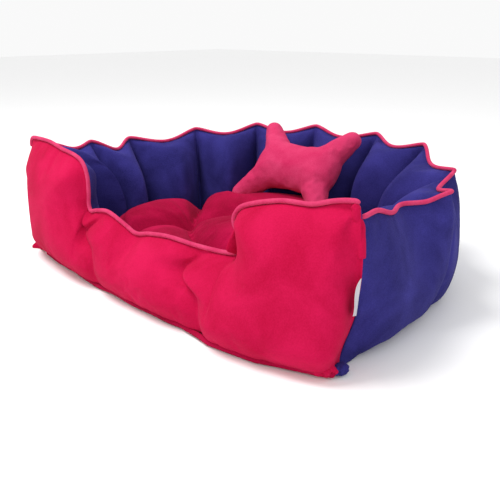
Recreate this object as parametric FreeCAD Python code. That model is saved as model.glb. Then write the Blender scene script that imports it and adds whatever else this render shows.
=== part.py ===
"""Bolster pet bed: a D-shaped ring of stuffed wall chambers with a low entry at the front,
a padded base, a quilted seat cushion that lifts out and a loose bone-shaped pillow.

Frame: +X to the right of the entry, -Y out through the entry, +Z up.
The origin is on the underside of the base, on the centre line. Millimetres.
"""

import FreeCAD
import Part
import math
import os

# ---- driving dimensions -------------------------------------------------------------------
HALF_WIDTH = 405.0          # rim, centre line to side
CORNER_Y = -260.0           # rim at the two front corners
FRONT_BOW = 40.0            # how far the front rim bows out at its middle
ARC_Y = -70.0               # centre of the round back
BACK_RADIUS = 400.0         # rim, from ARC_Y to the back
WALL_HEIGHT = 217.0         # rim of the side walls at the front corners
# rim of the front wall, (x, height) from the left corner over the entry to the right corner
FRONT_RIM = ((-405, 239), (-300, 241), (-205, 232), (-180, 216),
             (-170, 140), (-150, 132), (-100, 137), (-20, 121), (60, 130), (190, 132),
             (205, 140), (213, 200), (234, 214), (285, 228), (340, 232), (380, 241), (405, 238))
FRONT_SEAMS = (-155.0, 125.0)   # the two stitched seams of the front wall
RIM_SCALLOP = 24.0          # how far a chamber pulls its rim inwards
RIM_DIP = 16.0              # and down
FOOT = 6.0                  # lowest stuffing of the wall
SIDE_BLEND = 175.0          # length over which the side wall turns into a front corner
FRONT_BLEND = 130.0         # and the front wall

FABRIC = 2.0                # velvet with its backing
GAP = 0.4                   # between two layers that lie on each other
FLOOR_LAYER = 2.0           # underside fabric
BATTING = 11.5              # padding in the base
PIPING_RADIUS = 3.2
CORD_RADIUS = 1.9
PIPING_WALL = 1.2
PIPING_LIFT = PIPING_RADIUS + FABRIC + GAP      # of its middle, above the rim

CUSHION_BOTTOM = 17.0
CUSHION_TOP = 80.0
CUSHION_HALF = 290.0
CUSHION_CORNER = 88.0       # rounding of its front corners
CUSHION_EDGE = 26.0         # rounding of its edges
HUB_X = 150.0               # the two tufts
HUB_Y = -50.0
SEAM_GAP = 2.0
TUFT_RADIUS = 1.5
DENT_GAP = 0.5              # between the seat cushion and the pillow that presses into it

BONE_CENTRE = FreeCAD.Vector(-41.1, 172.0, 161.7)
BONE_TILT = 47.0            # from lying flat, degrees
BONE_ARM_U = 118.0          # arm tips, along the pillow
BONE_ARM_V = 88.0           # and across it
BONE_ARM_RADIUS = 25.0
BONE_BODY = (196.0, 112.0, 72.0)

LABEL_SIZE = (26.0, 0.8, 62.0)
LABEL_Z = 84.0              # its lower edge
LABEL_OFF = (-5.0, -23.0)   # its sewn edge, inwards from the corner of the rim, low and high end
LABEL_TURN = -80.0          # the way it points, from +X
LABEL_HEM = 0.8             # radius of its rolled sewn edge

# ---- wall sections: (offset inwards from the rim, share of the rim's height) --------------
# A full chamber and its stitched seam, outer side bottom to rim, then inner side rim to bottom.
SIDE_FULL = ([(14, .02), (-4, .07), (-20, .27), (-24, .5), (-15, .78), (0, 1)],
             [(0, 1), (38, .83), (74, .6), (95, .34), (97, .14), (84, .02)])
SIDE_SEAM = ([(22, .02), (12, .07), (-1, .27), (-6, .5), (-5, .78), (0, 1)],
             [(0, 1), (5, .83), (9, .6), (14, .34), (24, .14), (34, .02)])
FRONT_FULL = ([(-20, .02), (-42, .08), (-52, .27), (-40, .52), (-18, .78), (0, 1)],
              [(0, 1), (30, .83), (54, .6), (70, .34), (72, .14), (60, .02)])
FRONT_SEAM = ([(-20, .02), (-27, .08), (-25, .27), (-16, .52), (-7, .78), (0, 1)],
              [(0, 1), (4, .83), (4, .6), (2, .34), (0, .14), (2, .02)])
CORNER_SEAM = ([(32, .02), (26, .08), (8, .3), (-10, .54), (-17, .78), (0, 1)],
               [(0, 1), (-8, .83), (-1, .6), (15, .34), (36, .14), (44, .02)])

STRAIGHT = ARC_Y - CORNER_Y                         # straight part of each side
ARC_LENGTH = math.pi * HALF_WIDTH
RING_LENGTH = 2 * STRAIGHT + ARC_LENGTH
# seams of the side and back wall, by distance along the rim from the right front corner
RING_SEAMS = [0, 250, 398, 597, 756, 923, 1074, 1229, 1396, 1512, RING_LENGTH]
RING_HEIGHTS = [217, 213, 217, 230, 230, 232, 230, 220, 208, 212, 217]  # of the rim, at each seam
STATION_SHARES = (0, .06, .18, .36, .64, .82, .94, 1)


def vec(x, y, z=0.0):
    return FreeCAD.Vector(x, y, z)


def smooth(t):
    t = min(1.0, max(0.0, t))
    return t * t * (3 - 2 * t)


def mix(a, b, t):
    return [((1 - t) * p[0] + t * q[0], (1 - t) * p[1] + t * q[1]) for p, q in zip(a, b)]


def puff(share):
    """How full a chamber is at this share of its width: 0 on its seams, 1 in its middle."""
    return math.sin(math.pi * share) ** 0.6


# ---- stations: a place on the rim, the way inwards, and the wall's section there ----------
class Station:
    def __init__(self, x, y, inward, height, outer, inner):
        self.x, self.y, self.inward, self.height = x, y, inward, height
        self.outer, self.inner = outer, inner

    def point(self, offset, z):
        return vec(self.x + self.inward[0] * offset, self.y + self.inward[1] * offset, z)

    def place(self, rz):
        return [self.point(r, z) for r, z in rz]

    def curve(self, side):
        return [(r, max(FOOT, share * self.height)) for r, share in side]


def between(points, at):
    """The value at a place, straight between the stated (place, value) points."""
    for (low, value), (high, next_value) in zip(points, points[1:]):
        if at <= high:
            return value + (next_value - value) * (at - low) / (high - low)
    return points[-1][1]


def ring_height(length):
    """Height of the side and back rim where no chamber pulls it down."""
    return between(list(zip(RING_SEAMS, RING_HEIGHTS)), length)


def ring_station(length, full):
    """A station of the side and back wall, full from 0 on a seam to 1."""
    left = length > RING_LENGTH / 2
    along = RING_LENGTH - length if left else length
    if along < STRAIGHT:
        x, y = HALF_WIDTH, CORNER_Y + along
        turn = smooth(1 - along / SIDE_BLEND)
        inward = (-1.0, turn)
    else:
        a = (along - STRAIGHT) / HALF_WIDTH
        x, y = HALF_WIDTH * math.cos(a), ARC_Y + BACK_RADIUS * math.sin(a)
        inward = (-math.cos(a), -math.sin(a))
    near_corner = smooth(1 - along / SIDE_BLEND)
    height = ring_height(length) - RIM_DIP * full * (1 - near_corner)
    pull = RIM_SCALLOP * full * (1 - near_corner)
    x, y = x + inward[0] * pull, y + inward[1] * pull
    seam = [mix(s, c, near_corner) for s, c in zip(SIDE_SEAM, CORNER_SEAM)]
    outer, inner = (mix(s, f, full) for s, f in zip(seam, SIDE_FULL))
    outer = [(r - pull * (1 - t), t) for r, t in outer]
    inner = [(r - pull * (1 - t) * (1 - t), t) for r, t in inner]
    if left:
        x, inward = -x, (-inward[0], inward[1])
    return Station(x, y, inward, height, outer, inner)


def front_height(x):
    """Height of the front rim, straight between its stated points."""
    return between(FRONT_RIM, x)


def front_station(x, full):
    """A station of the front wall, full from 0 on a seam to 1."""
    share = abs(x) / HALF_WIDTH
    turn = smooth((abs(x) - HALF_WIDTH + FRONT_BLEND) / FRONT_BLEND)
    inward = (-math.copysign(turn, x), 1.0)
    height = front_height(x)
    low = height / WALL_HEIGHT
    squeeze = 0.6 + 0.4 * min(1.0, low)
    seam = [mix(s, c, turn) for s, c in zip(FRONT_SEAM, CORNER_SEAM)]
    outer, inner = (mix(s, f, full) for s, f in zip(seam, FRONT_FULL))
    inner = [(r * squeeze if r > 0 else r, t) for r, t in inner]
    return Station(x, CORNER_Y - FRONT_BOW * (1 - share * share), inward, height, outer, inner)


def front_chamber(x0, x1):
    """Stations from x0 to x1: one at each point of the rim, and regular ones clear of those."""
    corners = [(x - x0) / (x1 - x0) for x, _ in FRONT_RIM if x0 + 6 < x < x1 - 6]
    near = 7.0 / (x1 - x0)
    shares = [s for s in STATION_SHARES if not any(abs(s - c) < near for c in corners)]
    return [front_station(x0 + (x1 - x0) * s, puff(s)) for s in sorted(shares + corners)]


def ring_chamber(a, b):
    return [ring_station(a + (b - a) * s, puff(s)) for s in STATION_SHARES]


# ---- solids lofted through stations -------------------------------------------------------
def spline(points):
    curve = Part.BSplineCurve()
    curve.interpolate(points)
    return curve.toShape()


def offset_side(curve, distance):
    """The open section curve moved to its left by distance, in its own plane."""
    moved = []
    for k, (r, z) in enumerate(curve):
        before, after = curve[max(0, k - 1)], curve[min(len(curve) - 1, k + 1)]
        dr, dz = after[0] - before[0], after[1] - before[1]
        size = math.hypot(dr, dz)
        moved.append((r - dz / size * distance, z + dr / size * distance))
    return moved


def loft(wires):
    return Part.makeLoft(wires, True, True, False)


def fill_wire(station):
    outer = station.place(station.curve(station.outer))
    inner = station.place(station.curve(station.inner))
    return Part.Wire([spline(outer), spline(inner), Part.makeLine(inner[-1], outer[0])])


def skin_wire(station, side):
    """A strip of fabric just outside the outer or the inner side of the stuffing."""
    curve = station.curve(getattr(station, side))
    near = station.place(offset_side(curve, GAP))
    far = station.place(offset_side(curve, GAP + FABRIC))
    return Part.Wire([spline(near), Part.makeLine(near[-1], far[-1]),
                      spline(far[::-1]), Part.makeLine(far[0], near[0])])


def skin(chambers, side):
    """The strip over several chambers, joined at their seams."""
    strips = [loft([skin_wire(s, side) for s in chamber]) for chamber in chambers]
    return strips[0].multiFuse(strips[1:])


# ---- piping -------------------------------------------------------------------------------
def directions(points):
    """For each point, the direction along the path there and the upward one square to it."""
    found = []
    for k, point in enumerate(points):
        before = (point - points[k - 1] if k else points[1] - point).normalize()
        after = (points[k + 1] - point if k + 1 < len(points) else before).normalize()
        along = (before + after).normalize()
        up = (vec(0, 0, 1) - along * along.z).normalize()
        found.append((along, up, along.dot(before)))
    return found


def tube(points, radius):
    """A round tube along the points, with a mitre at each."""
    rings = []
    for point, (along, up, _) in zip(points, directions(points)):
        circle = Part.Circle(point, along, radius)
        circle.XAxis = up
        rings.append(Part.Wire(circle.toShape()))
    return Part.makeLoft(rings, True, True, False)


def piping(points, name):
    hollow = tube(points, PIPING_RADIUS).cut(tube(points, PIPING_RADIUS - PIPING_WALL))
    return {name + "_piping_cover": hollow, name + "_piping_cord": tube(points, CORD_RADIUS)}


def rim_points(stations):
    """Middle of the piping: a fixed distance out from the rim, square to it, at each station."""
    rim = [vec(s.x, s.y, s.height) for s in stations]
    return [point + up * (PIPING_LIFT / max(0.5, mitre))
            for point, (_, up, mitre) in zip(rim, directions(rim))]


# ---- flat and cushion shapes --------------------------------------------------------------
def d_outline(half, front_y, bow, back_y, z, corner=0.0):
    """A closed D: bowed front edge, straight sides, round back; corner rounds it all round."""
    x, low = half - corner, front_y + corner
    left, right = vec(-x, ARC_Y, z), vec(x, ARC_Y, z)
    back = vec(0, back_y - corner, z)
    wire = Part.Wire([
        Part.Arc(vec(-x, low, z), vec(0, low - bow, z), vec(x, low, z)).toShape(),
        Part.makeLine(vec(x, low, z), right),
        Part.Arc(right, back, left).toShape(),
        Part.makeLine(left, vec(-x, low, z))])
    return wire.makeOffset2D(corner) if corner else wire


def slab(outline, thickness):
    return Part.Face(outline).extrude(vec(0, 0, thickness))


def base_parts():
    batting_z = FLOOR_LAYER + 0.3
    lining_z = batting_z + BATTING + 0.3
    inside = dict(half=306.0, front_y=-206.0, bow=24.0, back_y=229.0, corner=12.0)
    return {
        "base_underside": slab(d_outline(384.0, -262.0, 54.0, 309.0, 0.0, 8.0), FLOOR_LAYER),
        "base_batting": slab(d_outline(z=batting_z, **inside), BATTING),
        "base_lining": slab(d_outline(z=lining_z, **inside), FABRIC),
    }


def cushion_block(inset):
    """The cushion's outer form, made smaller all round by inset."""
    outline = d_outline(CUSHION_HALF - inset, -198.0 + inset, 14.0, 218.0 - inset,
                        CUSHION_BOTTOM + inset, CUSHION_CORNER - inset)
    block = slab(outline, CUSHION_TOP - CUSHION_BOTTOM - 2 * inset)
    rims = [e for e in block.Edges if e.BoundBox.ZLength < 0.01]
    return block.makeFillet(CUSHION_EDGE - inset, rims)


def arc_band(x, y_hub, y_mid):
    """An upright band between the hubs through (0, y_mid): the part inside the larger circle
    and outside the smaller one."""
    rise = y_mid - y_hub
    radius = (x * x + rise * rise) / (2 * abs(rise))
    centre_y = y_mid - math.copysign(radius, rise)
    base = vec(0, centre_y, -10)
    tall = CUSHION_TOP + 40
    big = Part.makeCylinder(radius + SEAM_GAP / 2, tall, base)
    small = Part.makeCylinder(radius - SEAM_GAP / 2, tall, base)
    low, high = sorted((y_hub, y_mid + math.copysign(10, rise)))
    window = Part.makeBox(2 * x, high - low, tall, vec(-x, low, -10))
    return big.cut(small).common(window)


def straight_band(x0, y0, x1, y1):
    length = math.hypot(x1 - x0, y1 - y0)
    band = Part.makeBox(length, SEAM_GAP, CUSHION_TOP + 40, vec(0, -SEAM_GAP / 2, -10))
    band.rotate(vec(0, 0), vec(0, 0, 1), math.degrees(math.atan2(y1 - y0, x1 - x0)))
    band.translate(vec(x0, y0))
    return band


def cushion_parts():
    outer, inner, fill = cushion_block(0), cushion_block(FABRIC), cushion_block(FABRIC + GAP)
    shell = outer.cut(inner).cut(lean(bone_block(-DENT_GAP)))
    fill = fill.cut(lean(bone_block(-DENT_GAP - FABRIC)))
    middle = (CUSHION_TOP + CUSHION_BOTTOM) / 2
    upper = Part.makeBox(1000, 1000, 200, vec(-500, -500, middle))
    lower = Part.makeBox(1000, 1000, 200, vec(-500, -500, middle - 200))
    bands = [arc_band(HUB_X, HUB_Y, 40.0), arc_band(HUB_X, HUB_Y, -140.0)]
    for side in (-1, 1):
        bands.append(straight_band(side * HUB_X, HUB_Y, side * 290, 150))
        bands.append(straight_band(side * HUB_X, HUB_Y, side * 205, -240))
        bands.append(Part.makeCylinder(TUFT_RADIUS + 0.5, 200, vec(side * HUB_X, HUB_Y, -10)))
    chambers = fill.cut(bands[0].multiFuse(bands[1:])).Solids
    names = {"left": (-240, -30), "right": (240, -30), "back": (0, 120),
             "front": (0, -180), "centre": (0, -50)}
    parts = {"cushion_top_panel": shell.common(upper), "cushion_bottom_panel": shell.common(lower)}
    for name, (x, y) in names.items():
        nearest = [c for c in chambers if c.isInside(vec(x, y, middle), 0.1, True)]
        parts["cushion_fill_" + name] = nearest[0]
    tall = CUSHION_TOP - CUSHION_BOTTOM - 2 * FABRIC - 2 * GAP
    for name, side in (("left", -1), ("right", 1)):
        parts["tuft_thread_" + name] = Part.makeCylinder(
            TUFT_RADIUS, tall, vec(side * HUB_X, HUB_Y, CUSHION_BOTTOM + FABRIC + GAP))
    return parts


# ---- bone pillow --------------------------------------------------------------------------
def capsule(a, b, radius):
    axis = b - a
    rod = Part.makeCylinder(radius, axis.Length, a, axis)
    return rod.multiFuse([Part.makeSphere(radius, a), Part.makeSphere(radius, b)])


def bone_block(inset):
    """The pillow lying flat on its own centre, made smaller all round by inset."""
    radius = BONE_ARM_RADIUS - inset
    u, v = BONE_ARM_U, BONE_ARM_V
    length, width, thick = (d - 2 * inset for d in BONE_BODY)
    body = Part.makeBox(length, width, thick, vec(-length / 2, -width / 2, -thick / 2))
    body = body.makeFillet(thick / 2 - 3, body.Edges)
    return body.multiFuse([capsule(vec(-u, -v), vec(u, v), radius),
                           capsule(vec(-u, v), vec(u, -v), radius)])


def lean(shape):
    """Put a pillow shape that lies flat on its own centre in its place against the back wall."""
    shape.rotate(vec(0, 0), vec(1, 0, 0), BONE_TILT)
    shape.translate(BONE_CENTRE)
    return shape


def bone_parts():
    outer, inner, fill = bone_block(0), bone_block(FABRIC), bone_block(FABRIC + GAP)
    shell = outer.cut(inner)
    above = Part.makeBox(600, 600, 100, vec(-300, -300, 0))
    below = Part.makeBox(600, 600, 100, vec(-300, -300, -100))
    return {"bone_front_panel": lean(shell.common(above)),
            "bone_back_panel": lean(shell.common(below)),
            "bone_fill": lean(fill)}


def label_part():
    """The side label, its rolled edge on the right front corner seam, leaning with the seam."""
    corner = ring_station(0, 0.0)
    low = corner.point(LABEL_OFF[0], LABEL_Z)
    high = corner.point(LABEL_OFF[1], LABEL_Z + LABEL_SIZE[2])
    turn = math.radians(LABEL_TURN)
    across = vec(math.cos(turn), math.sin(turn)) * LABEL_SIZE[0]
    sheet = Part.Face(Part.makePolygon([low, high, high + across, low + across, low]))
    thick = (high - low).cross(across).normalize() * LABEL_SIZE[1]
    hem = Part.makeCylinder(LABEL_HEM, (high - low).Length, low + thick * .5, high - low)
    return {"side_label": sheet.extrude(thick).fuse(hem)}


# ---- the whole bed ------------------------------------------------------------------------
def run_of(chambers):
    """The stations of neighbouring chambers as one run, each seam once."""
    return chambers[0] + [station for chamber in chambers[1:] for station in chamber[1:]]


def wall_parts():
    low, high = FRONT_SEAMS
    front = {"front_left": front_chamber(-HALF_WIDTH, low),
             "front_centre": front_chamber(low, high),
             "front_right": front_chamber(high, HALF_WIDTH)}
    pairs = zip(RING_SEAMS, RING_SEAMS[1:])
    ring = {"%02d" % k: ring_chamber(a, b) for k, (a, b) in enumerate(pairs, 1)}
    parts = {}
    for wall, chambers in (("front", front), ("side", ring)):
        for name, stations in chambers.items():
            parts["wall_fill_" + name] = loft([fill_wire(s) for s in stations])
        runs = list(chambers.values())
        parts[wall + "_cover"] = skin(runs, "outer")
        parts[wall + "_lining"] = skin(runs, "inner")
        parts.update(piping(rim_points(run_of(runs)), wall))
    return parts


def main():
    os.makedirs("parts", exist_ok=True)
    parts = {**base_parts(), **wall_parts(), **cushion_parts(), **bone_parts(), **label_part()}
    for name, shape in parts.items():
        if not shape.isValid() or shape.Volume <= 0:
            print("CHECK", name, shape.isValid(), round(shape.Volume))
        solids = shape.Solids
        kept = solids[0] if len(solids) == 1 else Part.makeCompound(solids)
        kept.exportStep("parts/%s.step" % name)
        print("%-24s solids %d  volume %9.0f mm3" % (name, len(solids), shape.Volume))


main()
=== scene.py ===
"""Looks of the bolster pet bed: velvet wall chambers, piping, lining, seat cushion, bone pillow.

Lengths are written in millimetres in the CAD frame and turned into metres when a mesh is made.
"""

import bpy
import bmesh
import math
import numpy as np
from mathutils import Matrix, Vector, noise
from mathutils.bvhtree import BVHTree


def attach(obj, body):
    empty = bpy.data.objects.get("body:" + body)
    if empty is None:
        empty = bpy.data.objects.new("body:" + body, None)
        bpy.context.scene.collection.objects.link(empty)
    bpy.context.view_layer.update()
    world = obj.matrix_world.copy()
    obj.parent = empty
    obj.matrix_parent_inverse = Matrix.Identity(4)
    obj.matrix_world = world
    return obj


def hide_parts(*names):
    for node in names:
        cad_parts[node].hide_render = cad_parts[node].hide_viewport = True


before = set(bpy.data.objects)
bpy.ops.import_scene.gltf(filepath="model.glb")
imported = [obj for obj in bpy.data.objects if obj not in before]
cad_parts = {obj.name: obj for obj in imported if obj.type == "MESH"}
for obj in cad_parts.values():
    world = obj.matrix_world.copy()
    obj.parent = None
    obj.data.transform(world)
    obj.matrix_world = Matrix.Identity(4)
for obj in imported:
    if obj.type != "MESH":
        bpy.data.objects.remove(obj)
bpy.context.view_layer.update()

MM = 0.001
SCENE = bpy.context.scene

# ---- driving dimensions, those of the CAD or close to them (mm) ---------------------------
HALF_WIDTH = 405.0
CORNER_Y = -260.0
FRONT_BOW = 40.0
ARC_Y = -70.0
BACK_RADIUS = 400.0
WALL_HEIGHT = 217.0
SIDE_BLEND = 175.0
FRONT_BLEND = 130.0
RIM_SCALLOP = 24.0
RIM_DIP = 16.0
PIPING_RADIUS = 3.9
STRAIGHT = ARC_Y - CORNER_Y
RING_LENGTH = 2 * STRAIGHT + math.pi * HALF_WIDTH
RING_SEAMS = [0, 250, 398, 597, 756, 923, 1074, 1229, 1396, 1512, RING_LENGTH]
RING_HEIGHTS = [223, 213, 217, 230, 230, 232, 230, 220, 208, 212, 223]  # of the rim, at each seam
CUSHION_HALF = 290.0
CUSHION_FRONT = -198.0
CUSHION_BACK = 218.0
CUSHION_BOTTOM = 17.0
CUSHION_PUFF = 60.0
CUSHION_CREST = 101.0
HUB_X = 150.0
HUB_Y = -50.0
BONE_CENTRE = (-41.1, 172.0, 161.7)
BONE_TILT = 47.0
BONE_ARM_U = 118.0
BONE_ARM_V = 88.0
BONE_ARM_RADIUS = 21.0
BONE_BODY = (196.0, 112.0, 72.0)
LABEL_LOW = (408.5, -263.0, 86.0)
LABEL_HIGH = (423.0, -279.0, 151.0)
LABEL_WIDTH = 21.0
LABEL_TURN = -80.0
BONE_ARM_ROOT = 33.0
BONE_VOXEL = 4.2
FRONT_BULGE = 43.0
LINING_BULGE = 66.0
HEM_RADIUS = 4.8
FOLD_RADIUS = 6.4
CORNER_SWAY = 17.0
SWAY_REACH = 45.0
SWAY_HEIGHT = 82.0

# ---- mesh density ------------------------------------------------------------------------
RING_STEP = 5.5
PIPING_STEP = 6.0
RING_SAMPLES = 44
FRONT_COLUMNS = 210
FRONT_ROWS = 44
TUBE_SIDES = 10
CUSHION_AROUND = 260
CUSHION_RINGS = 52
MEMBRANE_STEP = 5.0

# Rim of the front wall, (x, height), from the left corner over the entry to the right corner.
FRONT_RIM = [(-405, 223), (-399, 238), (-380, 243), (-309, 245), (-255, 238), (-205, 233),
             (-178, 223), (-166, 200), (-166, 172), (-169, 148), (-160, 134), (-138, 139),
             (-100, 144), (-53, 131), (-20, 121), (18, 128), (66, 133), (130, 131),
             (185, 132), (213, 137), (223, 149), (216, 170), (207, 187), (211, 201),
             (228, 214), (285, 229), (334, 231), (366, 240), (390, 244), (403, 242),
             (405, 223)]
# The two stitched seams of the front wall: x at the rim, the size of its bend to the left, and
# its shift to the right at the floor.
FRONT_SEAMS = [(-112.0, 56.0, 0.0), (150.0, 42.0, 28.0)]
# How far outwards the front wall stands at the floor, (x, mm).
FRONT_FOOT = [(-405, 8), (-383, 16), (-242, 25), (-126, 31), (0, 37), (130, 46), (200, 64),
              (290, 64), (356, 50), (385, 36), (405, 10)]

# Sections, (mm inwards from the rim, share of the rim's height), bottom to rim.
SIDE_OUT_FULL = [(32, .004), (14, .02), (-6, .08), (-22, .27), (-29, .5), (-22, .8), (0, 1)]
SIDE_OUT_SEAM = [(36, .004), (22, .02), (8, .08), (-6, .27), (-13, .5), (-11, .8), (0, 1)]
CORNER_OUT = [(-10, .004), (-12, .02), (2, .1), (6, .3), (-9, .54), (-15, .78), (0, 1)]
SIDE_IN_FULL = [(80, .05), (102, .14), (112, .3), (106, .52), (86, .76), (42, .96), (0, 1)]
SIDE_IN_SEAM = [(36, .05), (34, .14), (26, .3), (18, .52), (10, .76), (4, .94), (0, 1)]
CORNER_IN = [(44, .05), (38, .14), (18, .3), (2, .52), (-6, .76), (-2, .94), (0, 1)]


# ---- small helpers ------------------------------------------------------------------------
def smooth(t):
    """A soft step from 0 to 1."""
    t = np.clip(t, 0.0, 1.0)
    return t * t * (3 - 2 * t)


def puff(share, power):
    """0 at both ends of a chamber and 1 in its middle; a low power makes it fuller."""
    return np.sin(np.pi * np.clip(share, 0, 1)) ** power


def through(points, n):
    """n points on a smooth curve through the given ones, evenly spread along it."""
    p = np.array(points, float)
    p = np.vstack([2 * p[0] - p[1], p, 2 * p[-1] - p[-2]])
    t = np.linspace(0, 1, 24, endpoint=False)[:, None]
    spans = []
    for a, b, c, d in zip(p, p[1:], p[2:], p[3:]):
        spans.append(0.5 * (2 * b + (c - a) * t + (2 * a - 5 * b + 4 * c - d) * t ** 2
                            + (3 * b - a - 3 * c + d) * t ** 3))
    q = np.vstack(spans + [p[-2:-1]])
    length = np.r_[0, np.cumsum(np.linalg.norm(np.diff(q, axis=0), axis=1))]
    at = np.linspace(0, length[-1], n)
    return np.column_stack([np.interp(at, length, q[:, k]) for k in range(q.shape[1])])


def value_noise(points, size, seed=0.0):
    """Smooth noise of about -1 to 1 at each point, with features of this size in mm."""
    shift = Vector((seed * 7.3, seed * 3.1, seed * 5.7))
    return np.array([noise.noise(Vector(p) / size + shift) for p in points])


def ruffle(along, away, size, depth, reach, seed=0.0):
    """Small folds that run straight away from a seam and die out within their reach."""
    flat = np.column_stack([along.ravel(), 0.22 * away.ravel(), 0 * away.ravel()])
    folds = value_noise(flat, size, seed) + 0.5 * value_noise(flat, size * 0.45, seed + 1)
    return (folds * depth).reshape(away.shape) * np.exp(-away / reach)


def corner_sway(edge, z):
    """How far the right corner's seam strays along the front, low down."""
    return CORNER_SWAY * np.exp(-(edge / SWAY_REACH) ** 2) * (1 - smooth(z / SWAY_HEIGHT))


def new_object(name, points, faces):
    """A smooth-shaded mesh object from points in mm."""
    mesh = bpy.data.meshes.new(name)
    mesh.from_pydata((np.asarray(points) * MM).tolist(), [], faces)
    mesh.update()
    mesh.polygons.foreach_set("use_smooth", [True] * len(mesh.polygons))
    obj = bpy.data.objects.new(name, mesh)
    SCENE.collection.objects.link(obj)
    return obj


def grid_faces(rows, columns, flip=False):
    """Quads of a grid whose points run along its columns first."""
    faces = []
    for i in range(rows - 1):
        for j in range(columns - 1):
            a = i * columns + j
            face = (a, a + 1, a + columns + 1, a + columns)
            faces.append(face[::-1] if flip else face)
    return faces


def coordinates(obj):
    co = np.zeros(len(obj.data.vertices) * 3)
    obj.data.vertices.foreach_get("co", co)
    return co.reshape(-1, 3) / MM


def set_coordinates(obj, points):
    obj.data.vertices.foreach_set("co", (np.asarray(points) * MM).ravel())
    obj.data.update()


def normals(obj):
    n = np.zeros(len(obj.data.vertices) * 3)
    obj.data.vertices.foreach_get("normal", n)
    return n.reshape(-1, 3)


def add_modifier(obj, kind, **settings):
    modifier = obj.modifiers.new(kind.lower(), kind)
    for key, value in settings.items():
        setattr(modifier, key, value)
    return modifier


def cloth(obj, pinned, pressure, slack, cap, bending=2.0, frames=16):
    """Blows the fabric up round its pinned vertices. slack is its spare length as a share,
    and no point moves further than cap mm. The result is written into the mesh."""
    start = coordinates(obj)
    group = obj.vertex_groups.new(name="pin")
    group.add([int(i) for i in pinned], 1.0, "REPLACE")
    modifier = add_modifier(obj, "CLOTH")
    settings = modifier.settings
    settings.quality = 6
    settings.mass = 0.25
    settings.tension_stiffness = 14
    settings.compression_stiffness = 14
    settings.shear_stiffness = 4
    settings.bending_stiffness = bending
    settings.air_damping = 3
    settings.use_pressure = True
    settings.uniform_pressure_force = pressure
    settings.shrink_min = -slack
    settings.effector_weights.gravity = 0
    settings.vertex_group_mass = "pin"
    modifier.collision_settings.use_collision = False
    modifier.point_cache.frame_start = 1
    modifier.point_cache.frame_end = frames
    for number in range(1, frames + 1):
        SCENE.frame_set(number)
    shown = obj.evaluated_get(bpy.context.evaluated_depsgraph_get())
    end = np.zeros(len(obj.data.vertices) * 3)
    shown.data.vertices.foreach_get("co", end)
    obj.modifiers.remove(modifier)
    obj.vertex_groups.remove(group)
    SCENE.frame_set(1)
    move = end.reshape(-1, 3) / MM - start
    size = np.linalg.norm(move, axis=1, keepdims=True)
    set_coordinates(obj, start + move * np.minimum(1, cap / np.maximum(size, 1e-6)))


# ---- materials ----------------------------------------------------------------------------
MOTTLE_SCALE = 420.0
MOTTLE_SHARE = 0.45
PILE_SCALE = 1500.0
PILE_BUMP = 0.5
VELVET_ROUGHNESS = 0.9
VELVET_SPECULAR = 0.06


def add_node(tree, kind, **inputs):
    """A shader node; an input's value is a constant or an output socket to link."""
    node = tree.nodes.new(kind)
    for key, value in inputs.items():
        socket = node.inputs[key.replace("_", " ")]
        if isinstance(value, bpy.types.NodeSocket):
            tree.links.new(value, socket)
        else:
            socket.default_value = value
    return node


def fabric(name, light, dark, sheen, sheen_tint, patch=0.09):
    """Short-pile velvet: nap patches, fine mottling, pile bump and a soft sheen."""
    material = bpy.data.materials.new(name)
    material.use_nodes = True
    tree = material.node_tree
    shader = tree.nodes["Principled BSDF"]
    place = add_node(tree, "ShaderNodeTexCoord").outputs["Object"]
    nap = add_node(tree, "ShaderNodeTexNoise", Vector=place, Scale=1 / patch, Detail=3.0,
                   Roughness=0.55, Distortion=0.6).outputs["Fac"]
    mottle = add_node(tree, "ShaderNodeTexNoise", Vector=place, Scale=MOTTLE_SCALE, Detail=2.0,
                      Roughness=0.6).outputs["Fac"]
    both = tree.nodes.new("ShaderNodeMath")
    both.operation = "MULTIPLY_ADD"
    tree.links.new(mottle, both.inputs[0])
    both.inputs[1].default_value = MOTTLE_SHARE
    tree.links.new(nap, both.inputs[2])
    ramp = tree.nodes.new("ShaderNodeValToRGB")
    ramp.color_ramp.elements[0].position = 0.5
    ramp.color_ramp.elements[0].color = (*dark, 1)
    ramp.color_ramp.elements[1].position = 0.95
    ramp.color_ramp.elements[1].color = (*light, 1)
    tree.links.new(both.outputs[0], ramp.inputs["Fac"])
    tree.links.new(ramp.outputs["Color"], shader.inputs["Base Color"])
    fine = add_node(tree, "ShaderNodeTexNoise", Vector=place, Scale=PILE_SCALE, Detail=2.0,
                    Roughness=0.7).outputs["Fac"]
    soft = add_node(tree, "ShaderNodeTexNoise", Vector=place, Scale=60.0, Detail=3.0,
                    Roughness=0.5).outputs["Fac"]
    low = add_node(tree, "ShaderNodeBump", Height=soft, Strength=0.25, Distance=0.002)
    top = add_node(tree, "ShaderNodeBump", Height=fine, Strength=PILE_BUMP, Distance=0.0006,
                   Normal=low.outputs["Normal"])
    tree.links.new(top.outputs["Normal"], shader.inputs["Normal"])
    shader.inputs["Roughness"].default_value = VELVET_ROUGHNESS
    shader.inputs["Specular IOR Level"].default_value = VELVET_SPECULAR
    shader.inputs["Sheen Weight"].default_value = sheen
    shader.inputs["Sheen Roughness"].default_value = 0.45
    shader.inputs["Sheen Tint"].default_value = (*sheen_tint, 1)
    return material


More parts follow.
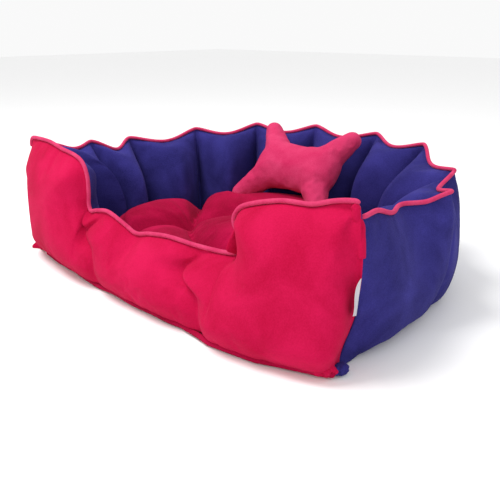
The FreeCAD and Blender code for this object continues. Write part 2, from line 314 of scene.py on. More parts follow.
def woven(name, light, dark, threads=900.0, roughness=0.8):
    """Plain weave: two crossed sets of threads as colour and bump."""
    material = bpy.data.materials.new(name)
    material.use_nodes = True
    tree = material.node_tree
    shader = tree.nodes["Principled BSDF"]
    place = add_node(tree, "ShaderNodeTexCoord").outputs["Object"]
    checks = add_node(tree, "ShaderNodeTexBrick", Vector=place, Scale=threads / 3,
                      Color1=(*light, 1), Color2=(*dark, 1), Mortar=(*dark, 1))
    fibre = add_node(tree, "ShaderNodeTexNoise", Vector=place, Scale=threads, Detail=2.0)
    tree.links.new(checks.outputs["Color"], shader.inputs["Base Color"])
    bump = add_node(tree, "ShaderNodeBump", Height=fibre.outputs["Fac"], Strength=0.4,
                    Distance=0.0005)
    tree.links.new(bump.outputs["Normal"], shader.inputs["Normal"])
    shader.inputs["Roughness"].default_value = roughness
    shader.inputs["Specular IOR Level"].default_value = 0.2
    return material


PINK = fabric("velvet_pink", (0.54, 0.0070, 0.066), (0.39, 0.0020, 0.034), 0.04,
              (1.0, 0.3, 0.5))
# A darker copy of the pink velvet: painted shade for the cushion down inside the walls and for the hem
# under the front wall.
PINK_PAINTED_SHADE = fabric("velvet_pink_painted_shade", (0.43, 0.004, 0.052), (0.24, 0.001, 0.022), 0.04,
                   (1.0, 0.3, 0.5))
# A lighter copy of the pink velvet: painted light on the pillow, which is lit from above.
PINK_PILLOW_PAINTED_LIGHT = fabric("velvet_pink_pillow_painted_light", (0.60, 0.048, 0.142), (0.47, 0.015, 0.080), 0.06,
                   (1.0, 0.4, 0.6))
# A lighter copy of the pink velvet: painted light along the rim piping.
PINK_PIPING_PAINTED_LIGHT = fabric("piping_pink", (0.60, 0.052, 0.145), (0.48, 0.020, 0.088), 0.08,
                     (1.0, 0.45, 0.6), patch=0.03)
BLUE = fabric("velvet_blue", (0.038, 0.033, 0.205), (0.0145, 0.012, 0.090), 0.06,
              (0.4, 0.36, 1.0))
BASE_CLOTH = woven("base_cloth", (0.03, 0.026, 0.09), (0.018, 0.016, 0.06))
LABEL = woven("label_white", (0.62, 0.61, 0.63), (0.56, 0.55, 0.58), threads=2600.0,
              roughness=0.45)


def finish_piece(obj, material, body, replaced=(), thickness=1.6, levels=1):
    """Gives a fabric piece its cloth thickness, material, smoothing and body, and hides the CAD parts
    it replaces.
    """
    obj.data.materials.append(material)
    if thickness:
        add_modifier(obj, "SOLIDIFY", thickness=thickness * MM, offset=-1.0)
    if levels:
        add_modifier(obj, "SUBSURF", levels=levels, render_levels=levels)
    if replaced:
        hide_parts(*replaced)
    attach(obj, body)


# ---- side and back wall -------------------------------------------------------------------
def chamber_fill(length, power):
    """0 on the seams of the ring wall and 1 in the middle of each chamber."""
    seams = np.array(RING_SEAMS)
    k = np.clip(np.searchsorted(seams, length, side="right") - 1, 0, len(seams) - 2)
    share = (length - seams[k]) / (seams[k + 1] - seams[k])
    return puff(share, power)


def ring_lengths(step):
    """Distances along the rim, evenly spread inside each chamber, with one on each seam."""
    runs = [np.linspace(a, b, max(2, round((b - a) / step)), endpoint=False)
            for a, b in zip(RING_SEAMS, RING_SEAMS[1:])]
    return np.r_[np.concatenate(runs), RING_LENGTH]


def ring_place(length):
    """(x, y), the way inwards, and nearness to a front corner, by distance along the rim."""
    left = length > RING_LENGTH / 2
    along = RING_LENGTH - length if left else length
    near = float(smooth(1 - along / SIDE_BLEND))
    if along < STRAIGHT:
        x, y, inward = HALF_WIDTH, CORNER_Y + along, (-1.0, near)
    else:
        a = (along - STRAIGHT) / HALF_WIDTH
        x, y = HALF_WIDTH * math.cos(a), ARC_Y + BACK_RADIUS * math.sin(a)
        inward = (-math.cos(a), -math.sin(a))
    side = -1 if left else 1
    return np.array([side * x, y]), np.array([side * inward[0], inward[1]]), near, along


def ring_rim(length):
    """The rim point (x, y, z) of the ring wall, its way inwards and how far it is pulled in."""
    place, inward, near, along = ring_place(length)
    full = float(chamber_fill(length, 1.3))
    height = np.interp(length, RING_SEAMS, RING_HEIGHTS) - RIM_DIP * full * (1 - near)
    wave = 3.5 * math.sin(along / 19.0) * smooth(along / 60) * smooth((250 - along) / 60)
    flare = 12.0 * math.exp(-((along - RING_SEAMS[1]) / 34.0) ** 2)
    pull = RIM_SCALLOP * full * (1 - near) + float(wave) - flare
    return np.array([*(place + inward * pull), height + float(wave)]), inward, near, pull


def ring_skin(full_list, seam_list, corner_list, outer):
    """Points of the outer or inner skin of the ring wall, one row per place along the rim."""
    rows = []
    lengths = ring_lengths(RING_STEP)
    for length in lengths:
        rim, inward, near, pull = ring_rim(length)
        full = float(chamber_fill(length, 0.8))
        seam = (1 - near) * np.array(seam_list) + near * np.array(corner_list)
        section = (1 - full) * seam + full * np.array(full_list)
        curve = through(section, RING_SAMPLES)
        r, share = curve[:, 0], np.clip(curve[:, 1], 0, 1)
        r = r - pull * ((1 - share) if outer else (1 - share) ** 2)
        rows.append(np.column_stack([rim[0] + inward[0] * r, rim[1] + inward[1] * r,
                                     share * rim[2]]))
    points = np.array(rows)
    seam_gap = np.min(abs(lengths[:, None] - np.array(RING_SEAMS)[None, :]), axis=1)
    beside = np.repeat(seam_gap[:, None], RING_SAMPLES, axis=1)
    down = WALL_HEIGHT - points[:, :, 2]
    along = np.repeat(lengths[:, None], RING_SAMPLES, axis=1)
    depth = ruffle(along, down, 30.0, 1.4, 20.0, 1.0) * smooth(down / 8)
    depth += ruffle(down, beside, 26.0, 2.4, 22.0, 2.0) * smooth(beside / 6) * smooth(down / 20)
    if outer:
        depth += ruffle(along, points[:, :, 2], 26.0, 2.6, 14.0, 3.0)
    inward = np.array([ring_place(length)[1] for length in lengths])
    points[:, :, :2] += inward[:, None, :] * depth[:, :, None]
    if outer:
        sway = corner_sway(along, points[:, :, 2])
        points[:, :, 0] -= sway
        points[:, :, 1] -= 0.7 * sway
    return points


def seam_pins(rows, samples, seams_at):
    """Vertex numbers of both edges of a skin and of its seam rows."""
    pins = set()
    for i in range(rows):
        pins.update((i * samples, i * samples + 1, i * samples + samples - 1))
    for i in seams_at:
        pins.update(range(i * samples, (i + 1) * samples))
    return pins


def make_ring():
    lengths = ring_lengths(RING_STEP)
    seams_at = [int(np.argmin(abs(lengths - seam))) for seam in RING_SEAMS]
    pins = seam_pins(len(lengths), RING_SAMPLES, seams_at)
    fills = ["wall_fill_%02d" % k for k in range(1, len(RING_SEAMS))]
    for name, lists, outer, replaced in (
            ("side_cover_skin", (SIDE_OUT_FULL, SIDE_OUT_SEAM, CORNER_OUT), True,
             ["side_cover"] + fills),
            ("side_lining_skin", (SIDE_IN_FULL, SIDE_IN_SEAM, CORNER_IN), False,
             ["side_lining"])):
        points = ring_skin(*lists, outer).reshape(-1, 3)
        skin = new_object(name, points, grid_faces(len(lengths), RING_SAMPLES, flip=outer))
        cloth(skin, pins, 3.0, 0.008, 7.0)
        finish_piece(skin, BLUE, "bed", replaced)


# ---- front wall ---------------------------------------------------------------------------
RIM_CURVE = through(FRONT_RIM, 1200)


def front_grid(columns, rows):
    """(x, z) of each point of the front panel: its upper edge is the rim, its lower edge is
    spread out, so that nothing folds beside the entry's steep edges."""
    rim = through(FRONT_RIM, columns)
    slope = np.maximum(np.gradient(rim[:, 0]), 0.38 * HALF_WIDTH * 2 / columns)
    kernel = np.hanning(15)
    slope = np.convolve(np.pad(slope, 7, mode="edge"), kernel / kernel.sum(), mode="valid")
    foot = np.r_[0, np.cumsum((slope[1:] + slope[:-1]) / 2)]
    foot = foot / foot[-1] * 2 * HALF_WIDTH - HALF_WIDTH
    share = np.linspace(0, 1, rows)
    x = foot[:, None] + (rim[:, :1] - foot[:, None]) * share[None, :] ** 1.6
    z = rim[:, 1:] * share[None, :]
    return x, z


def rim_distance(x, z):
    """Distance in the panel's plane to the front rim."""
    flat = np.column_stack([x.ravel(), z.ravel()])
    near = [np.min(np.hypot(RIM_CURVE[:, 0] - px, RIM_CURVE[:, 1] - pz)) for px, pz in flat]
    return np.array(near).reshape(x.shape)


def front_seam_factor(x, share):
    """0 on the front wall's seams and corners, 1 in the middle of its chambers. Near the rim
    each seam is a crisp tuck that the end chamber overhangs, and below it is a soft dip."""
    factor = 1 - np.exp(-((HALF_WIDTH - abs(x)) / np.where(x < 0, 42.0, 24.0)))
    upper = smooth((share - 0.45) / 0.25)
    for at, bend, foot in FRONT_SEAMS:
        line = at - bend * np.exp(-((share - 0.72) / 0.16) ** 2) + foot * (1 - share)
        end_side = (x - line) * np.sign(at) > 0
        width = np.where(end_side, 22 - 14 * upper, 40 - 12 * upper)
        depth = (0.45 if at < 0 else 0.62) + 0.36 * upper
        factor = factor * (1 - np.minimum(depth, 1) * np.exp(-(abs(x - line) / width) ** 1.1))
    return factor


def front_place(x):
    """y of the front rim and the way inwards, for each x."""
    share = abs(x) / HALF_WIDTH
    turn = smooth((abs(x) - HALF_WIDTH + FRONT_BLEND) / FRONT_BLEND)
    return CORNER_Y - FRONT_BOW * (1 - share ** 2), -np.sign(x) * turn


def front_skin(outer):
    """Points of the outer or inner skin of the front wall, and how full it is at each."""
    x, z = front_grid(FRONT_COLUMNS, FRONT_ROWS)
    rim_z = z[:, -1:]
    share = z / rim_z
    distance = rim_distance(x, z)
    factor = front_seam_factor(x, share)
    corner_curve = through(CORNER_OUT if outer else CORNER_IN, 60)
    corner = np.interp(share, corner_curve[:, 1], corner_curve[:, 0])
    at_corner = np.exp(-((HALF_WIDTH - np.clip(abs(x), 0, HALF_WIDTH)) / 16.0))
    if outer:
        stand = np.interp(x, *np.transpose(FRONT_FOOT))
        lean = -(stand - 6.0) * (1 - share) ** 0.8
        bulge = -FRONT_BULGE * (1 - np.exp(-(distance / 40) ** 1.1)) * factor * (1 - 0.3 * (1 - share))
        foot = 11.0 * (1 - smooth(z / 14.0))
        lean = lean * smooth(distance / 12) * (0.72 + 0.28 * factor)
        bulge = bulge * (0.15 + 0.85 * smooth(z / 45))
        r = lean + bulge + foot - 1.0
    else:
        low = np.minimum(1.0, rim_z / WALL_HEIGHT)
        bulge = LINING_BULGE * (1 - np.exp(-(distance / 50) ** 1.1)) * factor * (0.55 + 0.45 * low)
        r = bulge - 14.0 * (1 - smooth(z / 60.0)) * factor + 4.0 * smooth(distance / 30) + 2.5
    r = r * (1 - at_corner) + corner * at_corner
    edge = HALF_WIDTH - abs(x)
    folds = ruffle(x, distance, 26.0, 1.2, 18.0, 4.0) * smooth(distance / 8)
    folds += ruffle(z, edge, 22.0, 3.0, 26.0, 5.0) * smooth(edge / 6)
    if outer:
        folds += ruffle(x, z, 30.0, 3.6, 16.0, 6.0)
        top = np.hypot(edge, rim_z - z)
        spokes = 1.2 - 2.4 * abs(np.sin(4.0 * np.arctan2(rim_z - z, edge + 1.0) + 0.4)) ** 0.5
        folds -= 6.0 * spokes * np.exp(-top / 32.0) * smooth((edge - 6) / 14) * (x > 0)
        foot_near = np.hypot(edge, z)
        folds -= (11.0 + 4.0 * np.sin(x / 3.4)) * np.exp(-(foot_near / 24.0) ** 2) * smooth(edge / 4)
    r = r + folds
    y, sideways = front_place(x)
    sway = corner_sway(edge, z) * (x > 0) if outer else 0.0
    return np.stack([x + sideways * r - sway, y + r - 0.7 * sway, z], axis=-1), factor


def make_front():
    fills = ["wall_fill_front_left", "wall_fill_front_centre", "wall_fill_front_right"]
    for name, outer, material, slot, replaced in (
            ("front_cover_skin", True, PINK, "velvet_pink", ["front_cover"] + fills),
            ("front_lining_skin", False, BLUE, "velvet_blue", ["front_lining"])):
        points, factor = front_skin(outer)
        faces = grid_faces(FRONT_COLUMNS, FRONT_ROWS, flip=outer)
        skin = new_object(name, points.reshape(-1, 3), faces)
        pins = seam_pins(FRONT_COLUMNS, FRONT_ROWS, (0, FRONT_COLUMNS - 1))
        pins |= set(np.flatnonzero(factor < 0.3))
        cloth(skin, pins, 3.0, 0.008, 7.0)
        finish_piece(skin, material, "bed", replaced)


# ---- piping, hem and corners --------------------------------------------------------------
def sweep(name, path, radius, reference=(0.0, 0.0, 1.0)):
    """A closed round tube along a path, a little uneven, with rounded ends. The reference is
    a direction that the path never takes."""
    path = np.asarray(path)
    along = np.gradient(path, axis=0)
    along /= np.linalg.norm(along, axis=1, keepdims=True)
    reference = np.array(reference)
    up = reference - along * (along @ reference)[:, None]
    up /= np.linalg.norm(up, axis=1, keepdims=True)
    side = np.cross(along, up)
    angle = np.linspace(0, 2 * np.pi, TUBE_SIDES, endpoint=False)
    uneven = 1 + 0.05 * value_noise(path, 22.0, 4.0)
    size = radius * uneven
    size[[0, -1]] *= 0.55
    rings = (path[:, None] + size[:, None, None] * (np.cos(angle)[None, :, None] * side[:, None]
             + np.sin(angle)[None, :, None] * up[:, None]))
    last = (len(path) - 1) * TUBE_SIDES
    faces = []
    for start in range(0, last, TUBE_SIDES):
        for j in range(TUBE_SIDES):
            k = (j + 1) % TUBE_SIDES
            faces.append((start + j, start + k, start + TUBE_SIDES + k, start + TUBE_SIDES + j))
    faces += [tuple(range(TUBE_SIDES))[::-1], tuple(last + j for j in range(TUBE_SIDES))]
    return new_object(name, rings.reshape(-1, 3), faces)


def make_hem():
    """The flat seam allowance under the front wall, showing below its chambers."""
    x = np.linspace(-345, 374, 260)
    y, sideways = front_place(x)
    wave = value_noise(np.column_stack([x, 0 * x, 0 * x]), 60.0, 9.0)
    r = 7.0 - np.interp(x, *np.transpose(FRONT_FOOT)) + 4.0 * wave
    path = np.column_stack([x + sideways * r, y + r, 6.6 + 1.2 * wave])
    hem = sweep("front_hem", path, HEM_RADIUS)
    # The hem gets the darker pink copy: painted shade under the front wall.
    finish_piece(hem, PINK_PAINTED_SHADE, "bed", thickness=0)


def make_corner_fold():
    """The fold of the front cover beside the right corner, hanging from the end of the piping."""
    corner = through(CORNER_OUT, 60)[::-1]
    corner = corner[(corner[:, 1] > 0.7) & (corner[:, 1] < 0.97)]
    r = corner[:, 0] + 3.0 + 6.0 * smooth((0.82 - corner[:, 1]) / 0.12)
    down = np.column_stack([HALF_WIDTH - r, CORNER_Y + r, corner[:, 1] * RING_HEIGHTS[0]])
    top = [(HALF_WIDTH - 11, CORNER_Y - 3, 242), (HALF_WIDTH - 6, CORNER_Y - 3, 237),
           (HALF_WIDTH - 5, CORNER_Y - 3, 226)]
    path = through(top + down[::4].tolist(), 60)
    fold = sweep("front_corner_fold", path, FOLD_RADIUS, (0.7, -0.7, 0.0))
    finish_piece(fold, PINK, "bed", thickness=0)


# Bunched cloth where the covers meet at the right corner's foot: name, material, slot, place
# and half size in mm. The left corner has the same, smaller.
FEET = [("pink", PINK, "velvet_pink", (381, -300, 11), (21, 17, 11)),
        ("blue", BLUE, "velvet_blue", (401, -284, 10), (10, 13, 9))]


def make_foot(name, material, side, place, size):
    bm = bmesh.new()
    bmesh.ops.create_icosphere(bm, subdivisions=4, radius=MM)
    mesh = bpy.data.meshes.new("foot")
    bm.to_mesh(mesh)
    bm.free()
    foot = bpy.data.objects.new(name, mesh)
    SCENE.collection.objects.link(foot)
    ball = coordinates(foot)
    folds = 1 + 0.16 * np.sin(7 * np.arctan2(ball[:, 1], ball[:, 0])) * (1 - abs(ball[:, 2]))
    folds += 0.12 * value_noise(ball * 10, 6.0, 3.0 + side)
    points = ball * folds[:, None] * size + [side * place[0], place[1], place[2]]
    points[:, 2] = np.maximum(points[:, 2], 0.8)
    set_coordinates(foot, points)
    finish_piece(foot, material, "bed", thickness=0, levels=0)


def make_feet():
    for colour, material, slot, place, size in FEET:
        left_place = (place[0] + 3, place[1] + 32, 8)
        left_size = tuple(0.7 * k for k in size)
        make_foot("foot_%s_left" % colour, material, -1, left_place, left_size)
    for colour, material, slot, place, size in FEET:
        make_foot("foot_%s_right" % colour, material, 1, place, size)


def make_piping():
    rim = through(FRONT_RIM, 300)
    rim = rim[(rim[:, 0] < 395) | (rim[:, 1] > 240)]  # it ends at the right corner's fold
    y, _ = front_place(rim[:, 0])
    path = np.column_stack([rim[:, 0], y - 1.5, rim[:, 1]])
    tangent = np.gradient(path, axis=0)
    out = np.column_stack([-tangent[:, 2], 0 * y, tangent[:, 0]])
    out /= np.linalg.norm(out, axis=1, keepdims=True)
    front = sweep("front_piping", path + out * PIPING_RADIUS * 0.8, PIPING_RADIUS, (0.0, 1.0, 0.0))
    # The piping gets the lighter pink copy: painted light along the rim.
    finish_piece(front, PINK_PIPING_PAINTED_LIGHT, "bed",
                 ["front_piping_cover", "front_piping_cord"], thickness=0)
    rims = np.array([ring_rim(length)[0] for length in ring_lengths(PIPING_STEP)])
    lift = np.array([0, 0, PIPING_RADIUS * 0.8])
    side = sweep("side_piping", rims + lift, PIPING_RADIUS)
    finish_piece(side, PINK_PIPING_PAINTED_LIGHT, "bed",
                 ["side_piping_cover", "side_piping_cord"], thickness=0)


# ---- base ---------------------------------------------------------------------------------
def d_outline(half, front_y, bow, back_y, corner, count):
    """A closed D outline with rounded front corners, evenly spread points."""
    radius = back_y - ARC_Y
    turns = np.linspace(0, np.pi, 60)
    back = np.column_stack([half * np.cos(turns), ARC_Y + radius * np.sin(turns)])
    curls = np.linspace(0, np.pi / 2, 14)[1:-1]
    left = np.column_stack([-half + corner - corner * np.cos(curls),
                            front_y + corner - corner * np.sin(curls)])
    xs = np.linspace(-half + corner, half - corner, 40)
    front = np.column_stack([xs, front_y - bow * (1 - (xs / (half - corner)) ** 2)])
    right = left[::-1] * [-1, 1]
    loop = np.vstack([back, left, front, right, back[:1]])
    length = np.r_[0, np.cumsum(np.linalg.norm(np.diff(loop, axis=0), axis=1))]
    at = np.linspace(0, length[-1], count, endpoint=False)
    return np.column_stack([np.interp(at, length, loop[:, k]) for k in range(2)])


def disc(name, outline, centre, rings, height, flip=False):
    """A sheet over an outline, its height given by a function of (x, y, share from centre)."""
    count = len(outline)
    shares = np.linspace(0, 1, rings + 1)[1:]
    flat = [centre] + [centre + s * (p - centre) for s in shares for p in outline]
    share = np.r_[0, np.repeat(shares, count)]
    flat = np.array(flat)
    points = np.column_stack([flat, height(flat, share)])
    faces = [(0, 1 + j, 1 + (j + 1) % count) for j in range(count)]
    for i in range(rings - 1):
        for j in range(count):
            a, b = 1 + i * count + j, 1 + i * count + (j + 1) % count
            faces.append((a, a + count, b + count, b))
    faces = [f[::-1] for f in faces] if flip else faces
    return new_object(name, points, faces)


def make_base():
    centre = np.array([0.0, -10.0])
    outline = d_outline(382.0, -262.0, 42.0, 304.0, 26.0, 260)
    under = disc("base_bottom", outline, centre, 30,
                 lambda flat, share: 2.6 + 0.8 * value_noise(np.c_[flat, 0 * share], 46.0, 2.0), True)
    finish_piece(under, BASE_CLOTH, "bed", ["base_underside"], thickness=1.0, levels=0)
    inner = d_outline(330.0, -250.0, 20.0, 250.0, 26.0, 240)
    lining = disc("base_pad", inner, centre, 34,
                  lambda flat, share: 15.0 + 3.0 * value_noise(np.c_[flat, 0 * share], 60.0, 5.0))
    finish_piece(lining, BLUE, "bed", ["base_lining", "base_batting"])


# ---- seat cushion -------------------------------------------------------------------------
def polyline_distance(x, y, line):
    """Distance of each point of a grid from a line of straight runs."""
    best = np.full(np.shape(x), 1e9)
    for (ax, ay), (bx, by) in zip(line, line[1:]):
        length = max((bx - ax) ** 2 + (by - ay) ** 2, 1e-9)
        t = np.clip(((x - ax) * (bx - ax) + (y - ay) * (by - ay)) / length, 0, 1)
        best = np.minimum(best, np.hypot(x - ax - t * (bx - ax), y - ay - t * (by - ay)))
    return best


def quilt_seams():
    """The seams stitched through the cushion: two arcs between the tufts, two rays from each."""
    seams = []
    for side in (-1, 1):
        seams.append([(side * HUB_X, HUB_Y), (side * 300, 156)])
        seams.append([(side * HUB_X, HUB_Y), (side * 212, -260)])
    for top in (40, -140):
        turn = np.linspace(-1, 1, 24)
        seams.append([(t * HUB_X, top + (HUB_Y - top) * t * t) for t in turn])
    return seams


def inflated(open_cells, step, rounds=2600):
    """How high a membrane stands over the open cells of a grid, as if blown up: the solution
    of a Poisson equation, zero on the closed cells."""
    height = np.zeros(open_cells.shape)
    for _ in range(rounds):
        around = (np.roll(height, 1, 0) + np.roll(height, -1, 0)
                  + np.roll(height, 1, 1) + np.roll(height, -1, 1)) / 4
        height = np.where(open_cells, around + step * step / 4, 0.0)
    return height


def sample_grid(grid, origin, step, x, y):
    """Values of a grid at any places, blended between its points."""
    gx = np.clip((x - origin[0]) / step, 0, grid.shape[1] - 1.001)
    gy = np.clip((y - origin[1]) / step, 0, grid.shape[0] - 1.001)
    i, j = gy.astype(int), gx.astype(int)
    fy, fx = gy - i, gx - j
    return ((grid[i, j] * (1 - fx) + grid[i, j + 1] * fx) * (1 - fy)
            + (grid[i + 1, j] * (1 - fx) + grid[i + 1, j + 1] * fx) * fy)


def inside_outline(x, y, outline):
    """Whether each point of a grid lies inside a closed outline."""
    inside = np.zeros(np.shape(x), bool)
    for (ax, ay), (bx, by) in zip(outline, np.roll(outline, -1, axis=0)):
        crosses = (ay > y) != (by > y)
        at = ax + (y - ay) * (bx - ax) / (by - ay if by != ay else 1e-9)
        inside ^= crosses & (x < at)
    return inside


def pressed(points, weight, rings, count):
    """The points of the cushion's top with the hollow that the pillow's weight presses in."""
    mesh = weight.data
    tree = BVHTree.FromPolygons([v.co / MM for v in mesh.vertices],
                                [tuple(p.vertices) for p in mesh.polygons])
    depth = np.zeros(len(points))
    for k, point in enumerate(points):
        hit = tree.ray_cast(Vector((point[0], point[1], 20.0)), Vector((0, 0, 1)))[0]
        if hit is not None:
            depth[k] = max(0.0, point[2] - hit.z + 1.5)
    grid = depth[1:].reshape(rings, count)
    soft = grid.copy()
    for _ in range(10):
        padded = np.pad(soft, ((1, 1), (0, 0)), mode="edge")
        around = (padded[:-2] + padded[2:] + np.roll(soft, 1, 1) + np.roll(soft, -1, 1)) / 4
        soft = np.maximum(grid, 0.5 * soft + 0.5 * around)
    result = points.copy()
    result[1:, 2] -= soft.ravel()
    return result


def cushion_heights(flat, share, outline, seams):
    """Heights of the cushion's top and underside over its flat points."""
    step, origin = MEMBRANE_STEP, (-320.0, -250.0)
    gx, gy = np.meshgrid(np.arange(origin[0], 321, step), np.arange(origin[1], 251, step))
    seam_distance = np.min([polyline_distance(gx, gy, seam) for seam in seams], axis=0)
    inside = inside_outline(gx, gy, outline)
    membrane = inflated(inside & (seam_distance > 3.0), step)
    whole = inflated(inside, step)
    x, y = flat[:, 0], flat[:, 1]
    blown = sample_grid(membrane, origin, step, x, y)
    dome = sample_grid(whole, origin, step, x, y)
    hub = np.min([np.hypot(x - side * HUB_X, y - HUB_Y) for side in (-1, 1)], axis=0)
    low = CUSHION_BOTTOM + 20 + 4 * np.sqrt(dome / dome.max()) - 14 * np.exp(-(hub / 15) ** 2)
    top = low + CUSHION_PUFF * (blown / 3000.0) ** 0.45
    turn = np.arctan2(y - HUB_Y, abs(x) - HUB_X)
    spokes = 1 - 2 * abs(np.sin(4.5 * turn + 0.3)) ** 0.6
    top += 6.0 * spokes * np.exp(-hub / 38) * smooth(hub / 18)
    top -= 5.0 * np.exp(-((share - 0.93) / 0.014) ** 2) * smooth(blown / 200)
    top = np.minimum(top, CUSHION_CREST - 5 + 5 * np.tanh((top - CUSHION_CREST + 5) / 12))
    top += 12.0 * smooth((-x - 120) / 90) * smooth(blown / 900)
    under = CUSHION_BOTTOM + 26 - 26 * np.minimum(1, (dome / 1400.0)) ** 0.4
    return top, under


def cushion_faces(shift):
    """Faces of the top, of the underside, whose points come after shift, and of the edge."""
    count = CUSHION_AROUND
    edge = 1 + (CUSHION_RINGS - 1) * count
    faces = []
    for flip, base in ((False, 0), (True, shift)):
        for j in range(count):
            k = (j + 1) % count
            faces.append((base, base + 1 + j, base + 1 + k)[::-1 if flip else 1])
            for i in range(CUSHION_RINGS - 1):
                a, b = base + 1 + i * count + j, base + 1 + i * count + k
                faces.append((a, a + count, b + count, b)[::-1 if flip else 1])
    for j in range(count):
        k = (j + 1) % count
        faces.append((edge + j, shift + edge + j, shift + edge + k, edge + k))
    return faces


def make_cushion(pillow):
    outline = d_outline(CUSHION_HALF, CUSHION_FRONT, 14.0, CUSHION_BACK, 88.0, CUSHION_AROUND)
    seams = quilt_seams()
    centre = np.array([0.0, 10.0])
    shares = np.sin(np.linspace(0, np.pi / 2, CUSHION_RINGS + 1)[1:])
    flat = np.array([centre + share * (p - centre) for share in shares for p in outline])
    flat = np.vstack([centre, flat])
    share = np.r_[0, np.repeat(shares, CUSHION_AROUND)]
    top, under = cushion_heights(flat, share, outline, seams)
    top = pressed(np.column_stack([flat, top]), pillow, CUSHION_RINGS, CUSHION_AROUND)[:, 2]
    points = np.vstack([np.column_stack([flat, top]), np.column_stack([flat, under])])
    shift = len(flat)
    cushion = new_object("cushion_pad", points, cushion_faces(shift))
    seam_at = np.min([polyline_distance(flat[:, 0], flat[:, 1], seam) for seam in seams], axis=0)
    edge = 1 + (CUSHION_RINGS - 1) * CUSHION_AROUND
    pins = np.flatnonzero(seam_at < 5.0).tolist() + list(range(shift, len(points)))
    pins += list(range(edge, edge + CUSHION_AROUND))
    cloth(cushion, pins, 2.0, 0.012, 5.0, bending=1.0)
    fills = ["cushion_fill_" + side for side in ("left", "right", "back", "front", "centre")]
    # The cushion gets the darker pink copy: painted shade inside the walls.
    finish_piece(cushion, PINK_PAINTED_SHADE, "cushion",
                 ["cushion_top_panel", "cushion_bottom_panel", "tuft_thread_left",
                  "tuft_thread_right"] + fills, thickness=0)


# ---- bone pillow --------------------------------------------------------------------------
def capsule(bm, start, end, wide, narrow):
    """A round bar whose radius goes from wide at its start to narrow at its end."""
    start, end = Vector(start), Vector(end)
    turn = (end - start).to_track_quat("Z", "Y").to_matrix().to_4x4()
    for share in np.linspace(0, 1, 12):
        radius = wide + (narrow - wide) * share
        place = Matrix.Translation(start.lerp(end, float(share))) @ turn
        bmesh.ops.create_icosphere(bm, subdivisions=3, radius=radius * MM, matrix=place_mm(place))


def place_mm(matrix):
    """The same placement with its shift turned from mm into metres."""
    moved = matrix.copy()
    moved.translation = moved.translation * MM
    return moved


def apply_modifiers(obj):
    """Writes the result of an object's modifiers into its mesh."""
    mesh = bpy.data.meshes.new_from_object(obj.evaluated_get(bpy.context.evaluated_depsgraph_get()))
    obj.modifiers.clear()
    obj.data = mesh
    mesh.polygons.foreach_set("use_smooth", [True] * len(mesh.polygons))


def bone_form():
    """The plain bone shape, flat at the origin: a full body and four tapering arms."""
    bm = bmesh.new()
    for x in np.linspace(-BONE_BODY[0] / 2 + 40, BONE_BODY[0] / 2 - 36, 8):
        for y in np.linspace(-14, 14, 3):
            matrix = Matrix.Translation(Vector((x, y, 0)) * MM) @ Matrix.Diagonal((1.05, 1.0, 0.84, 1))
            radius = 45 - 4 * (1 - abs(x) / 60)
            bmesh.ops.create_icosphere(bm, subdivisions=3, radius=radius * MM, matrix=matrix)
    for side in (-1, 1):
        for end in (-1, 1):
            tip = BONE_ARM_U - (12 if side > 0 else 4)
            capsule(bm, (side * 70, end * 34, 0), (side * tip, end * BONE_ARM_V, 0),
                    BONE_ARM_ROOT, BONE_ARM_RADIUS)
    mesh = bpy.data.meshes.new("bone_pillow")
    bm.to_mesh(mesh)
    bm.free()
    bone = bpy.data.objects.new("bone_pillow", mesh)
    SCENE.collection.objects.link(bone)
    add_modifier(bone, "REMESH", mode="VOXEL", voxel_size=BONE_VOXEL * MM)
    add_modifier(bone, "SMOOTH", factor=0.6, iterations=8)
    apply_modifiers(bone)
    return bone


def make_bone():
    bone = bone_form()
    points = coordinates(bone)
    seam = np.exp(-(points[:, 2] / 2.6) ** 2)
    outwards = points * [1, 1, 0]
    outwards /= np.maximum(np.linalg.norm(outwards, axis=1, keepdims=True), 1)
    points = points - outwards * seam[:, None] * 1.8
    corner = np.hypot(abs(points[:, 0]) - 66, abs(points[:, 1]) - 42)
    pucker = value_noise(points * [1, 1, 0.6], 17.0, 3.0) * np.exp(-(corner / 34) ** 2) * 2.4
    points = points + normals(bone) * pucker[:, None]
    set_coordinates(bone, points)
    pins = np.flatnonzero(abs(points[:, 2]) < 2.2)
    cloth(bone, pins, 3.0, 0.012, 5.0, bending=1.0)
    lean = Matrix.Rotation(math.radians(BONE_TILT), 4, "X")
    move = Matrix.Translation(Vector(BONE_CENTRE) * MM)
    bone.data.transform(move @ lean)
    # The pillow gets the lighter pink copy: painted light from above.
    finish_piece(bone, PINK_PILLOW_PAINTED_LIGHT, "bone",
                 ["bone_front_panel", "bone_back_panel", "bone_fill"], thickness=0)
    return bone


# ---- side label ---------------------------------------------------------------------------
def make_label():
    """A folded white ribbon, blank, sewn to the corner seam and curling a little."""
    low, high = np.array(LABEL_LOW), np.array(LABEL_HIGH)
    turn = math.radians(LABEL_TURN)
    across = np.array([math.cos(turn), math.sin(turn), 0.0])
    bend = np.cross(high - low, across)
    bend /= np.linalg.norm(bend)
    columns, rows = 14, 26
    points = []
    for i in range(columns):
        u = i / (columns - 1)
        for j in range(rows):
            v = j / (rows - 1)
            curl = 3.0 * u * u + 1.2 * u * math.sin(5 * v + 0.6)
            lift = np.array([0, 0, u * (9 - 15 * v)])
            points.append(low + (high - low) * v + across * LABEL_WIDTH * u + bend * curl + lift)
    label = new_object("label_ribbon", points, grid_faces(columns, rows))
    finish_piece(label, LABEL, "label", ["side_label"], thickness=0.8)


make_ring()
make_front()
make_piping()
make_hem()
make_corner_fold()
make_feet()
make_base()
make_cushion(make_bone())
make_label()


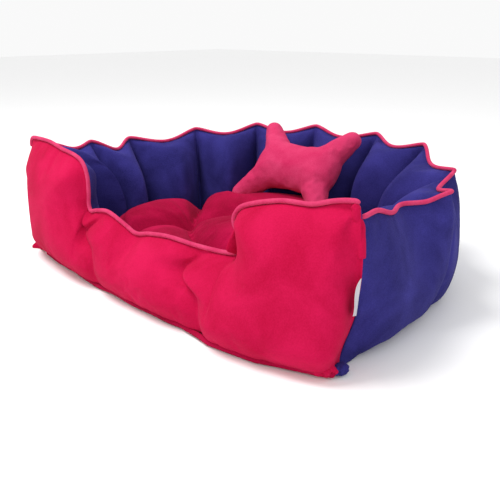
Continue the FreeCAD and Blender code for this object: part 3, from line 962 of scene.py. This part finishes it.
# ---- camera, light and floor --------------------------------------------------------------
CAMERA_PLACE = (0.8446, -0.9669, 0.4647)
CAMERA_DOWN = 19.14
CAMERA_TURN = 41.98
CAMERA_LENS = 46.65
FLOOR_HALF = 9
FLOOR_COLOUR = (0.93, 0.93, 0.93, 1)
WORLD_STRENGTH = 0.95
# Area lights: name, place and size in metres, power in watts.
LIGHTS = [("key", (-0.6, -0.9, 2.3), 1.0, 43),
          ("side", (1.6, -1.6, 1.2), 1.0, 6)]


def make_camera():
    camera = bpy.data.objects.new("camera", bpy.data.cameras.new("camera"))
    camera.data.lens = CAMERA_LENS
    camera.location = CAMERA_PLACE
    camera.rotation_euler = (math.radians(90 - CAMERA_DOWN), 0, math.radians(CAMERA_TURN))
    SCENE.collection.objects.link(camera)
    SCENE.camera = camera


def make_floor():
    corners = [(x * FLOOR_HALF, y * FLOOR_HALF, 0) for x, y in ((-1, -1), (1, -1), (1, 1), (-1, 1))]
    mesh = bpy.data.meshes.new("floor")
    mesh.from_pydata(corners, [], [(0, 1, 2, 3)])
    floor = bpy.data.objects.new("floor", mesh)
    SCENE.collection.objects.link(floor)
    paper = bpy.data.materials.new("paper")
    paper.use_nodes = True
    shader = paper.node_tree.nodes["Principled BSDF"]
    shader.inputs["Base Color"].default_value = FLOOR_COLOUR
    shader.inputs["Roughness"].default_value = 0.9
    shader.inputs["Specular IOR Level"].default_value = 0.1
    mesh.materials.append(paper)


def make_lights():
    world = bpy.data.worlds.new("studio")
    world.use_nodes = True
    background = world.node_tree.nodes["Background"]
    background.inputs["Color"].default_value = (1, 1, 1, 1)
    background.inputs["Strength"].default_value = WORLD_STRENGTH
    SCENE.world = world
    SCENE.view_settings.view_transform = "Standard"
    for name, place, size, power in LIGHTS:
        light = bpy.data.lights.new(name, "AREA")
        light.energy = power
        light.size = size
        lamp = bpy.data.objects.new(name, light)
        lamp.location = place
        aim = Vector((0, 0, 0.1)) - Vector(place)
        lamp.rotation_euler = aim.to_track_quat("-Z", "Y").to_euler()
        SCENE.collection.objects.link(lamp)


make_camera()
make_floor()
make_lights()
